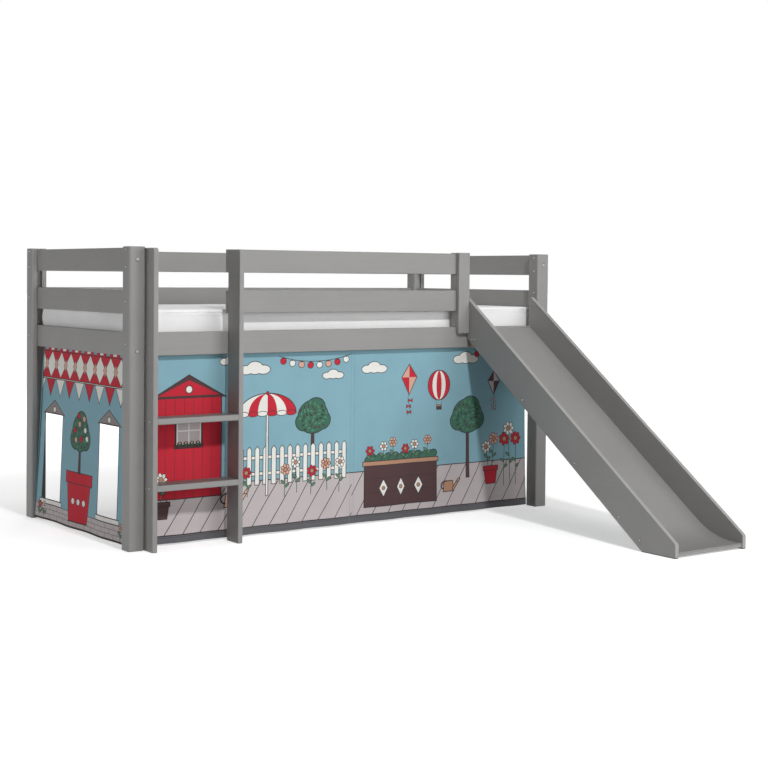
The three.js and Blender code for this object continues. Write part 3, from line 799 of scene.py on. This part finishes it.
def kite(d, x, y, r, ink, other, lean):
    top, right, low, left = (x, y + r), (x + r * 0.62, y + r * 0.15), (x, y - r), (x - r * 0.62, y + r * 0.15)
    d.fill([top, left, low, right], ink, 1.8)
    mid = (x, y + r * 0.15)
    d.fill([top, left, mid], other)
    d.fill([mid, low, right], other)
    d.curve(low, (x - lean, y - r * 1.5), (x + lean, y - r * 1.9), (x - lean * 0.4, y - r * 2.5), 1.8, "line")
    for k, ty in ((0.3, 1.45), (-0.1, 1.85), (0.0, 2.25)):
        bx, by = x + lean * k, y - r * ty
        for wing in (-11, 11):
            d.fill([(bx, by), (bx + wing, by + 6), (bx + wing, by - 6)], ink, 1.0)


def balloon(d, x, y, r):
    d.oval(x, y, r, r * 1.08, "red", 2.0, 36)
    for k in (-1, 1):
        points = []
        for way, wide in ((1, 0.62), (-1, 0.24)):
            for i in range(13):
                a = way * (math.pi / 2 - math.pi * i / 12)
                points.append((x + k * r * wide * math.cos(a), y + r * 1.08 * math.sin(a)))
        d.fill(points, "cream")
    for k in (-1, 1):
        d.stroke([(x + k * r * 0.34, y - r * 1.0), (x + k * r * 0.17, y - r * 1.5)], 1.8, "line")
    d.box(x - r * 0.2, y - r * 1.78, x + r * 0.2, y - r * 1.5, "brown", 1.8)
    d.box(x - r * 0.22, y - r * 1.56, x + r * 0.22, y - r * 1.48, "tan", 1.2)


def picket_fence(d, x0, x1, base, high):
    for y in (base + high * 0.25, base + high * 0.68):
        d.box(x0, y, x1, y + 11, "cream", 1.6)
    count = round((x1 - x0) / 38)
    for i in range(count + 1):
        x = x0 + 10 + (x1 - x0 - 20) * i / count
        top = base + high - 10
        d.fill([(x - 9, base), (x + 9, base), (x + 9, top), (x, base + high), (x - 9, top)], "cream", 1.6)


def shed(d, x, base, wide, high):
    d.box(x, base, x + wide, base + high, "red", 2.2)
    for i in range(1, 7):
        px = x + wide * i / 7
        d.box(px - 0.9, base, px + 0.9, base + high, "line")
    eaves, rise = base + high, high + wide * 0.28
    d.fill([(x - 18, eaves - 6), (x + wide + 18, eaves - 6), (x + wide / 2, base + rise)], "brown", 2.2)
    d.fill([(x + 6, eaves + 2), (x + wide - 6, eaves + 2), (x + wide / 2, base + rise - 18)], "red")
    d.oval(x + wide / 2, base + high + wide * 0.09, 13, 13, "cream", 2.0, 20)
    wx, wy, w = x + wide * 0.5, base + high * 0.66, wide * 0.19
    d.box(wx - w, wy - w, wx + w, wy + w, "cream", 3.0)
    d.box(wx - w + 6, wy - w + 6, wx + w - 6, wy + w - 6, "lilac")
    d.box(wx - 2.5, wy - w, wx + 2.5, wy + w, "cream")
    d.box(wx - w, wy - 2.5, wx + w, wy + 2.5, "cream")
    d.box(wx - w - 8, wy - w - 12, wx + w + 8, wy - w - 2, "brown", 1.6)
    for k in (-0.75, -0.25, 0.25, 0.75):
        d.oval(wx + k * w, wy - w + 3, 9, 8, "green", 1.2, 12)
        d.oval(wx + k * w, wy - w + 7, 4.5, 4.5, "peach", 1.0, 10)


def parasol(d, x, base, high, r):
    d.box(x - 3.5, base, x + 3.5, base + high, "cream", 1.6)
    y = base + high - r * 0.55
    parts = 6

    def rib(share, turn, steps):
        """The canopy's line at a share of its radius."""
        angles = [turn * i / steps for i in range(steps + 1)]
        return [(x + r * share * math.cos(a), y + r * 0.6 * math.sin(a)) for a in angles]

    d.fill(rib(1, math.pi, 24), "red", 2.0)
    for k in range(0, parts, 2):
        left, right = (rib(-1 + 2 * edge / parts, math.pi / 2, 8) for edge in (k, k + 1))
        d.fill(left + right[::-1], "cream")
    for k in range(parts):
        cx = x - r + r * 2 * (k + 0.5) / parts
        d.oval(cx, y, r / parts, 9, "cream" if k % 2 == 0 else "red", 1.4, 16)
    d.oval(x, y + r * 0.62, 5, 6, "red", 1.4, 12)


def planter(d, x0, x1, base, high):
    for x in range(int(x0) + 24, int(x1) - 10, 40):
        d.blobs([(x, base + high + 16, 24, 20), (x + 12, base + high + 30, 17, 15)], "green", 1.6)
    for i, x in enumerate(range(int(x0) + 30, int(x1) - 14, 58)):
        ink, lean = ("red", "cream", "peach")[i % 3], (-5, 5)[i % 2]
        flower(d, x, base + high, 58 + 16 * (i % 3), ink, 19, lean, 6)
    d.box(x0, base, x1, base + high, "brown", 2.2)
    d.box(x0 - 9, base + high - 4, x1 + 9, base + high + 12, "tan", 1.8)
    for k in (0.33, 0.66):
        d.box(x0, base + high * k - 0.9, x1, base + high * k + 0.9, "line")
    mid = base + high * 0.42
    for k in (0.25, 0.5, 0.75):
        cx = x0 + (x1 - x0) * k
        d.fill([(cx, base + high * 0.62), (cx - 20, mid), (cx, base + high * 0.22), (cx + 20, mid)],
               "cream", 1.6)
        d.oval(cx, mid, 7, 7, "tan", 1.2, 14)


def watering_can(d, x, base, r, ink):
    d.taper(x, base, base + r * 1.5, r, r * 0.8, ink, 2.0)
    d.fill([(x + r * 0.85, base + r * 0.4), (x + r * 1.0, base + r * 0.1), (x + r * 2.0, base + r * 1.45),
            (x + r * 1.8, base + r * 1.6)], ink, 1.8)
    d.oval(x + r * 1.95, base + r * 1.6, r * 0.32, r * 0.16, ink, 1.6, 14, 0.75)
    d.curve((x - r * 0.85, base + r * 0.35), (x - r * 1.9, base + r * 0.5), (x - r * 1.6, base + r * 1.7),
            (x - r * 0.3, base + r * 1.55), 6.0, "line", 12)


def front_left_drawing(wide):
    d = Drawing(wide, DROP)
    cloud(d, 392, 690, 96)
    cloud(d, 500, 654, 130)
    cloud(d, 872, 620, 96)
    lanterns(d, 610, 958, 706, 8)
    planks(d, 212, 120)
    round_tree(d, 776, 214, 190, 72)
    shed(d, 66, 170, 282, 392)
    picket_fence(d, 392, 940, 196, 150)
    parasol(d, 560, 150, 400, 132)
    watering_can(d, 400, 120, 34, "peach")
    for i, x in enumerate((470, 640, 700, 770, 846, 905)):
        ink, lean = ("red", "peach", "cream")[i % 3], (-6, 5)[i % 2]
        flower(d, x, 150 - 12 * (i % 2), 96 + 14 * (i % 3), ink, 21, lean)
    pot(d, 90, 96, 66, 62, "brown")
    flower(d, 90, 158, 88, "cream", 24)
    hem(d)
    return side_seams(d)


def front_right_drawing(wide):
    d = Drawing(wide, DROP)
    cloud(d, 108, 640, 120)
    cloud(d, 598, 668, 130)
    kite(d, 292, 590, 62, "red", "peach", 20)
    balloon(d, 452, 560, 58)
    kite(d, 760, 560, 50, "lilac", "brown", -16)
    lanterns(d, 640, 935, 712, 7)
    planks(d, 212, 110)
    round_tree(d, 610, 150, 214, 80)
    planter(d, 66, 436, 62, 176)
    pot(d, 742, 112, 74, 76, "red")
    flower(d, 728, 186, 90, "cream", 25, -10)
    flower(d, 752, 186, 124, "peach", 25, 10)
    for i, x in enumerate((816, 850, 882)):
        flower(d, x, 96, 210 + 46 * (i % 2), ("red", "cream", "red")[i], 27, (6, -4, 3)[i])
    watering_can(d, 506, 96, 28, "tan")
    hem(d)
    return side_seams(d)


def lanterns(d, x0, x1, top, count):
    """A slack string of small round lanterns."""
    d.curve((x0, top), (x0 + (x1 - x0) * 0.3, top - 34), (x0 + (x1 - x0) * 0.7, top - 34), (x1, top),
            2.6, "line")
    for i in range(count):
        t = (i + 0.5) / count
        x, y = x0 + (x1 - x0) * t, top - 102 * t * (1 - t) - 15
        d.oval(x, y, 13, 12, ("red", "cream", "peach")[i % 3], 1.4, 16)
        d.box(x - 4, y + 10, x + 4, y + 14, "line")


def harlequin(d, low, high, count):
    """A band of long diamonds in two colours, with outlines and a button at each crossing."""
    wide, mid = d.wide / count, (low + high) / 2
    d.band(low, high, "red", 1.6)
    for i in range(count + 1):
        x = wide * i
        d.fill([(x, high - 3), (x + wide * 0.5, mid), (x, low + 3), (x - wide * 0.5, mid)], "cream", 1.4)
    for i in range(count):
        x = wide * (i + 0.5)
        d.fill([(x, mid + 24), (x + 15, mid), (x, mid - 24), (x - 15, mid)], "peach", 1.2)


def pennants(d, top, count, long):
    wide = d.wide / count
    for i in range(-1, count + 1):
        x = (i + 0.5) * wide
        ink = "red" if i % 2 == 0 else "cream"
        d.fill([(x + 2, top), (x + wide - 2, top), (x + wide / 2, top - long)], ink, 1.8)
    d.band(top - 5, top + 5, "cream", 1.6)


def end_drawing(wide, holes):
    """A harlequin band over pennants, gables on two windows, and a potted tree."""
    d = Drawing(wide, DROP)
    band_low, band_high, points, stripes = 596, 706, 9, 14
    pennants(d, band_low, points, 74)
    harlequin(d, band_low, band_high, points)
    d.band(band_high, DROP + OVER, "red", 1.6)
    for i in range(stripes):
        x = wide * (i + 0.5) / stripes
        d.box(x - 15, band_high + 4, x + 15, DROP + OVER, "cream" if i % 2 else "teal", 1.0)
    for x0, y0, x1, y1 in holes:
        middle = (x0 + x1) / 2
        d.fill([(x0 - 16, y1 + 2), (x1 + 16, y1 + 2), (middle, y1 + 56)], "grey", 2.2)
        d.oval(middle, y1 + 20, 11, 11, "cream", 1.6, 18)
        d.box(x0 - 5, y0 - 5, x1 + 5, y1 + 5, "line")
        d.box(x0 - 16, y0 - 20, x1 + 16, y0 - 4, "cream", 2.0)
    middle = (holes[0][2] + holes[1][0]) / 2
    paving_low, course, slab = 7, 19, 64
    d.band(paving_low, paving_low + 3 * course, "lilac", 1.2)
    for row in range(3):
        y = paving_low + course * row
        d.band(y - 0.8, y + 0.8, "line")
        for i in range(-1, 14):
            x = slab * (i + 0.5 * (row % 2))
            d.box(x - 0.8, y, x + 0.8, y + course, "line")
    pot(d, middle, 30, 208, 196, "red")
    for k in (-1, 0, 1):
        d.oval(middle + k * 44, 110, 12, 12, "cream", 1.4, 16)
    d.taper(middle, 226, 330, 8, 5, "brown", 1.8)
    d.blobs([(middle, 388, 70, 72), (middle - 42, 362, 42, 40), (middle + 44, 366, 42, 42),
             (middle + 6, 434, 44, 40)], "green", 2.0)
    leaves(d, middle, 390, 78, 74, 40)
    fruit = ((-48, 12), (-8, 46), (40, 20), (8, -28), (-38, -36), (56, -22), (-14, 88), (30, 76))
    for k, (dx, dy) in enumerate(fruit):
        d.oval(middle + dx, 386 + dy * 0.8, 11, 11, ("red", "peach", "cream")[k % 3], 1.4, 14)
    for x, ink in ((40, "red"), (78, "cream"), (wide - 70, "peach"), (wide - 30, "red")):
        flower(d, x, 10, 50, ink, 15, 3.0, 6)
    d.band(-OVER, paving_low, "line")
    return side_seams(d)


def curtains():
    inks = {k: woven("cloth_" + k, srgb(*v)) for k, v in INKS.items()}
    left_start = STRIP_LEFT[0][0]
    left_wide = round(STRIP_LEFT[1][0] + LAP - left_start, 1)
    right_start = STRIP_RIGHT[0][0] - EARLY
    right_wide = round(STRIP_RIGHT[1][0] - right_start, 1)
    sill, head = WINDOW_SILL, WINDOW_SILL + WINDOW_HIGH
    windows = [(x, sill, x + WINDOW_WIDE, head) for x in WINDOW_STARTS]
    jobs = (
        ("printed_curtain_left", "curtain_front_left", front_left_drawing(left_wide),
         front_place(left_start, left_wide, 0.0, LEFT_PHASE), (), ["strip_front_left"]),
        ("printed_curtain_right", "curtain_front_right", front_right_drawing(right_wide),
         front_place(right_start, right_wide, FLARE, RIGHT_PHASE), (), ["strip_front_right"]),
        ("printed_curtain_end", "curtain_end", end_drawing(END_WIDE, windows),
         end_place, windows, ["strip_end"]),
    )
    for name, node, drawing, place, openings, rests in jobs:
        obj = printed_sheet(name, drawing, place, openings, inks)
        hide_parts(node)
        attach(obj, "root")


# Mattress, in metres and a little slack inside its node. The top bows up over its sides by the
# crown, the rim and corners are rounded, and each side is pulled in between its corners.
SLACK, SIDE_HIGH, CROWN = 0.0005, 0.112, 0.006
RIM, CORNER, LEAST_CORNER, PULL = 0.010, 0.013, 0.009, 0.0035
COLUMNS, ROWS, TURNS, RIM_STEPS, BODY_STEPS = 44, 18, 8, 6, 14
# The sewn groove as (inset, height), and how far it lies over the low rim and under the side's top
GROOVE = ((0.0, -0.0035), (0.0003, -0.0024), (0.0012, -0.0014),
          (0.0012, 0.0), (0.0003, 0.0012), (0.0, 0.0024))
GROOVE_OVER, GROOVE_UNDER = 0.003, 0.0135
# The body bulges between the grooves: how far from rim and top it starts, and its inset there
BODY_OVER, BODY_UNDER, BODY_INSET = 0.0065, 0.018, 0.0022
TOP_INSETS = (0.022, 0.034, 0.052, 0.08, 0.12, 0.17, 0.23, 0.3, 0.36, 0.4)
CROWN_REACH, CROWN_POWER = 0.24, 0.9
# The ends swell out between the end boards, clear of them, easing off inwards and to the corners.
SWELL, SWELL_POWER, SWELL_CLEAR, SWELL_DEEP = 0.0055, 0.7, 0.002, 0.03
CORNER_CLEAR, CORNER_EASE = 0.001, 0.009
SINK, DENT_SHARE, TOP_EASE = 0.0009, 0.6, 0.003


def side_outline(half_x, half_y, inset):
    """The outline at an inset, with its sides pulled in."""
    x, y = half_x - inset, half_y - inset
    r = max(CORNER - inset, LEAST_CORNER)
    points = []
    quarters = ((1, -1, -90), (1, 1, 0), (-1, 1, 90), (-1, -1, 180))
    for k, (sx, sy, turn) in enumerate(quarters):
        upright = k % 2 == 0
        for i in range(TURNS + 1):
            a = math.radians(turn + 90 * i / TURNS)
            points.append(Vector((sx * (x - r) + r * math.cos(a), sy * (y - r) + r * math.sin(a))))
        nx, ny, _ = quarters[(k + 1) % 4]
        start = points[-1].copy()
        end = Vector((start.x, ny * (y - r))) if upright else Vector((nx * (x - r), start.y))
        count, axis = (ROWS, 0) if upright else (COLUMNS, 1)
        for i in range(1, count):
            t = i / count
            p = start.lerp(end, t)
            p[axis] -= math.copysign(PULL * math.sin(math.pi * t), start[axis])
            points.append(p)
    return points


def mattress_rings():
    """The outlines' (inset, height), from the middle of the underside round to the top's."""
    rim_turns = [math.pi / 2 * i / RIM_STEPS for i in range(1, RIM_STEPS + 1)]
    rings = [(0.09, 0.0), (0.03, 0.0), (RIM, 0.0)]
    rings.extend((RIM * (1 - math.sin(a)), RIM * (1 - math.cos(a))) for a in rim_turns)
    rings.extend((inset, RIM + GROOVE_OVER + z) for inset, z in GROOVE)
    body_low, body_high = RIM + BODY_OVER, SIDE_HIGH - BODY_UNDER
    for i in range(1, BODY_STEPS):
        t = i / BODY_STEPS
        z = body_low + (body_high - body_low) * t
        rings.append((BODY_INSET * (1 - math.sin(math.pi * t) ** 0.5), z))
    rings.extend((inset, SIDE_HIGH - GROOVE_UNDER + z) for inset, z in GROOVE)
    rings.extend((RIM * (1 - math.cos(a)), SIDE_HIGH - RIM + RIM * math.sin(a)) for a in rim_turns)
    for inset in TOP_INSETS:
        t = min(inset / CROWN_REACH, 1.0)
        rings.append((inset, SIDE_HIGH + (CROWN - SLACK) * math.sin(math.pi / 2 * t) ** CROWN_POWER))
    return rings


def dent(x, y):
    """The shallow unevenness of the top."""
    return (0.0009 * math.sin(x * 13.0 + 1.0) * math.sin(y * 17.0 + x * 4.0)
            + 0.0005 * math.sin(x * 31.0 - y * 9.0))


def mattress(material):
    low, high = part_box("mattress")
    middle = (low + high) / 2
    half_x, half_y = (high.x - low.x) / 2 - SLACK, (high.y - low.y) / 2 - SLACK
    gap_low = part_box("end_board_left_low")[1].z + SWELL_CLEAR
    gap_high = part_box("end_board_left_middle")[0].z - SWELL_CLEAR
    rings = mattress_rings()
    verts = []
    for inset, z in rings:
        across_gap = clamped((low.z + z - gap_low) / (gap_high - gap_low))
        swell = SWELL * math.sin(math.pi * across_gap) ** SWELL_POWER
        soft = clamped((z - SIDE_HIGH) / TOP_EASE)
        for x, y in side_outline(half_x, half_y, inset):
            near = clamped((abs(x) - half_x + SWELL_DEEP) / SWELL_DEEP)
            near *= clamped((half_y - CORNER_CLEAR - abs(y)) / CORNER_EASE)
            x += math.copysign(swell * near, x)
            rise = z - SINK * soft + dent(x, y) * soft * DENT_SHARE
            verts.append(Vector((middle.x + x, middle.y + y, low.z + rise)))
    count = len(verts) // len(rings)
    faces = quads_between(0, len(rings), count)
    faces.append(tuple(range(count))[::-1])
    faces.append(tuple((len(rings) - 1) * count + i for i in range(count)))
    obj = new_object("mattress_cover", verts, faces, [material], smooth=True)
    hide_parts("mattress")
    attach(obj, "root")


# Floor and light, in metres. To the camera and in reflections the floor glows up to white between
# the near and the far radius; to all other rays it is grey.
WHITE = (1, 1, 1, 1)
FLOOR_HALF, FLOOR_LOW = 60.0, -0.0003
GLOW_NEAR, GLOW_FAR, GLOW_LEAST = 1.5, 6.0, 0.45
# Lamps stand round this point: name, way, distance, size, and the share of light each gives
LAMP_CENTRE = Vector((0.0, 0.0, 0.5))
LAMPS = (
    ("key", (-0.14, -0.72, 0.68), 7.5, 0.6, 0.5),
    ("front_fill", (0.42, -1.0, 0.16), 5.6, 3.6, 0.36),
    ("left_fill", (-1.0, 0.25, 0.14), 8.0, 3.0, 0.187),
    ("top_fill", (0.0, 0.0, 1.0), 6.0, 4.0, 0.22),
    ("back_fill", (0.35, 1.0, 0.4), 7.0, 3.0, 0.14),
)
WORLD_LIGHT = 0.14


def floor():
    s = Shade("studio_floor", Roughness=0.9)
    speck = s.noise((3.0, 3.0, 3.0), 2.0)
    s.colour(s.blend(speck, (0.86, 0.86, 0.86, 1), (0.89, 0.89, 0.89, 1)))
    seen = s.add("LightPath")
    either = s.calc("MAXIMUM", seen.outputs["Is Camera Ray"], seen.outputs["Is Glossy Ray"])
    far = s.add("VectorMath", {"operation": "LENGTH"})
    s.wire(s.add("TexCoord").outputs["Object"], far.inputs[0])
    lift = s.between(far.outputs["Value"], GLOW_NEAR, GLOW_FAR, GLOW_LEAST, 1.0)
    glow = s.add("Emission", Color=WHITE, Strength=lift)
    both = s.add("AddShader")
    s.wire(s.bsdf.outputs[0], both.inputs[0])
    s.wire(glow.outputs[0], both.inputs[1])
    pick = s.add("MixShader")
    s.wire(either, pick.inputs[0])
    s.wire(s.add("BsdfDiffuse", Color=(0.5, 0.5, 0.5, 1)).outputs[0], pick.inputs[1])
    s.wire(both.outputs[0], pick.inputs[2])
    out = next(n for n in s.tree.nodes if n.bl_idname == "ShaderNodeOutputMaterial")
    s.wire(pick.outputs[0], out.inputs[0])
    corners = [(x * FLOOR_HALF, y * FLOOR_HALF, FLOOR_LOW) for x, y in ((-1, -1), (1, -1), (1, 1), (-1, 1))]
    obj = new_object("floor", corners, [(0, 1, 2, 3)], [s.mat])


def light():
    """Each lamp lights a face turned to it by its share of a plain level of one."""
    for name, way, distance, size, share in LAMPS:
        data = bpy.data.lights.new(name, "AREA")
        data.shape = "DISK"
        data.size = size
        data.energy = share * math.pi ** 2 * distance ** 2
        obj = bpy.data.objects.new(name, data)
        way = Vector(way).normalized()
        obj.location = LAMP_CENTRE + way * distance
        obj.rotation_mode = "QUATERNION"
        obj.rotation_quaternion = way.to_track_quat("Z", "Y")
        bpy.context.scene.collection.objects.link(obj)
    world = bpy.data.worlds.new("studio")
    bpy.context.scene.world = world
    world.use_nodes = True
    tree = world.node_tree
    tree.nodes.clear()
    out = tree.nodes.new("ShaderNodeOutputWorld")
    seen = tree.nodes.new("ShaderNodeLightPath")
    pick = tree.nodes.new("ShaderNodeMixShader")
    tree.links.new(seen.outputs["Is Camera Ray"], pick.inputs[0])
    for slot, strength in ((1, WORLD_LIGHT), (2, 1.0)):
        background = tree.nodes.new("ShaderNodeBackground")
        background.inputs[0].default_value = WHITE
        background.inputs[1].default_value = strength
        tree.links.new(background.outputs[0], pick.inputs[slot])
    tree.links.new(pick.outputs[0], out.inputs[0])


scene = bpy.context.scene
scene.view_settings.view_transform = "Standard"
make_camera()
light()
floor()
dress_rigid()
# The caps' rings take a dark plastic that paints the shadow round each cap.
small_caps(moulded("cap_painted_shadow", srgb(84, 84, 82), 0.6))
mattress(ticking("mattress_knit"))
curtains()
